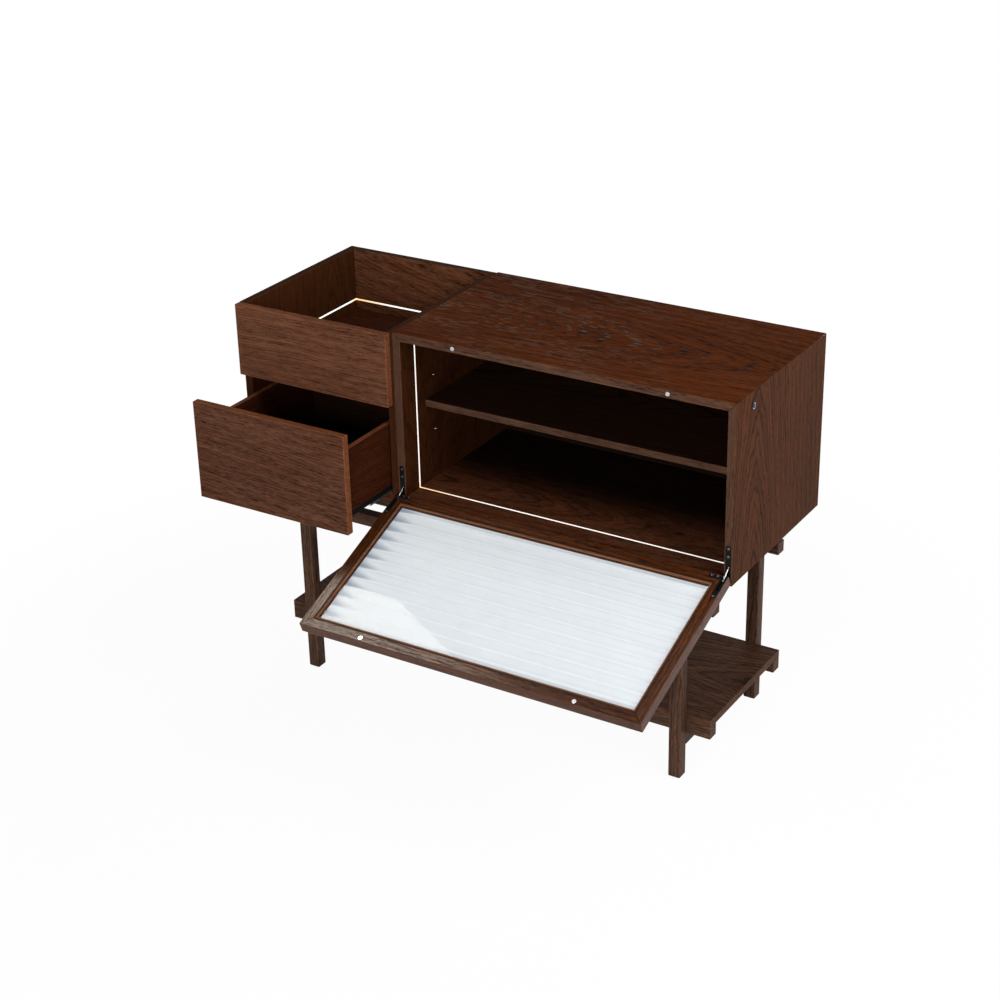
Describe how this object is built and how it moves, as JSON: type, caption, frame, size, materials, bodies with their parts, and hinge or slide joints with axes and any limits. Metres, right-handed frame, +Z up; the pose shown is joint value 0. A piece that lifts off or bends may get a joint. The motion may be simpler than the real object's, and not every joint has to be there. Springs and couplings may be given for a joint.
{
  "type": "office credenza",
  "caption": "Low dark-wood office credenza: open bin over a pull-out drawer, beside a lit cabinet with a drop-down fluted flap, on a stacked-rail stand with a lower shelf.",
  "frame": {"origin": "on the floor under the middle of the piece's box with drawer and flap open as pictured", "axes": "+X along the length towards the cabinet end, +Y from the front to the back, +Z up"},
  "size_m": [1.2022, 0.8067, 0.895],
  "materials": {
    "case_wood": "dark stained oak veneer, satin",
    "drawer_wood": "dark stained oak veneer, satin",
    "flap_wood": "dark stained oak, satin",
    "stand_wood": "dark stained oak, satin",
    "bead_wood": "stained wood, satin",
    "opal_panel": "white opal, fluted",
    "clear_pane": "clear, glossy",
    "light_diffuser": "white diffuser",
    "black_metal": "black, satin",
    "zinc_steel": "zinc plated",
    "bright_steel": "bright nickel",
    "black_plastic": "black, fine grain"
  },
  "bodies": {
    "carcass": {"leg_front_left": "stand_wood", "leg_front_right": "stand_wood", "leg_rear_left": "stand_wood", "leg_rear_right": "stand_wood", "lower_cross_rail_left": "stand_wood", "lower_cross_rail_right": "stand_wood", "upper_cross_rail_left": "stand_wood", "upper_cross_rail_right": "stand_wood", "lower_long_rail_front": "stand_wood", "lower_long_rail_rear": "stand_wood", "upper_beam_front": "stand_wood", "upper_beam_rear": "stand_wood", "top_rail_front": "stand_wood", "top_rail_rear": "stand_wood", "lower_shelf": "case_wood", "bin_left_side": "case_wood", "bin_right_side": "case_wood", "bin_back": "case_wood", "drawer_bay_bottom": "case_wood", "bin_floor": "case_wood", "bin_front": "case_wood", "cabinet_left_side": "case_wood", "cabinet_right_side": "case_wood", "cabinet_top": "case_wood", "cabinet_bottom": "case_wood", "cabinet_back": "case_wood", "cabinet_shelf": "case_wood", "bin_light_strip": "light_diffuser", "cabinet_light_strip": "light_diffuser", "slide_channel_left": "black_metal", "hinge_case_plate_left": "black_metal", "catch_magnet_left": "bright_steel", "slide_channel_right": "black_metal", "hinge_case_plate_right": "black_metal", "catch_magnet_right": "bright_steel", "switch_bezel": "bright_steel", "light_driver": "black_plastic"},
    "drawer": {"drawer_front": "drawer_wood", "drawer_left_side": "drawer_wood", "drawer_right_side": "drawer_wood", "drawer_back": "drawer_wood", "drawer_bottom": "drawer_wood", "slide_rail_left": "black_metal", "slide_rail_right": "black_metal"},
    "slide_runners": {"slide_runner_left": "zinc_steel", "slide_runner_right": "zinc_steel"},
    "hinge_links": {"hinge_link_left": "bright_steel", "hinge_link_right": "bright_steel"},
    "flap": {"flap_bottom_rail": "flap_wood", "flap_top_rail": "flap_wood", "flap_left_stile": "flap_wood", "flap_right_stile": "flap_wood", "glazing_bead": "bead_wood", "clear_pane": "clear_pane", "fluted_panel": "opal_panel", "catch_strike_left": "bright_steel", "catch_strike_right": "bright_steel", "hinge_flap_plate_left": "black_metal", "hinge_flap_plate_right": "black_metal"},
    "switch_button": {"switch_button": "black_plastic"}
  },
  "joints": [
    {"name": "drawer_slide", "type": "slide", "parent": "carcass", "child": "drawer", "axis": [0, -1, 0], "range_m": [-0.1665, 0.133]},
    {"name": "runner_slide", "type": "slide", "parent": "carcass", "child": "slide_runners", "axis": [0, -1, 0], "range_m": [-0.08325, 0.0665]},
    {"name": "link_swing", "type": "hinge", "parent": "carcass", "child": "hinge_links", "pos_m": [0.202, -0.016, 0.54], "axis": [1, 0, 0], "range_deg": [0, 33.3]},
    {"name": "flap_swing", "type": "hinge", "parent": "hinge_links", "child": "flap", "pos_m": [0.202, -0.04221, 0.52013], "axis": [1, 0, 0], "range_deg": [-144.3, 0]},
    {"name": "button_press", "type": "slide", "parent": "carcass", "child": "switch_button", "axis": [-1, 0, 0], "range_m": [0, 0.0015], "stiffness_N_per_m": 800}
  ],
  "couplings": [
    {"joint": "runner_slide", "follows": "drawer_slide", "ratio": 0.5},
    {"joint": "link_swing", "follows": "flap_swing", "ratio": -0.23077}
  ]
}
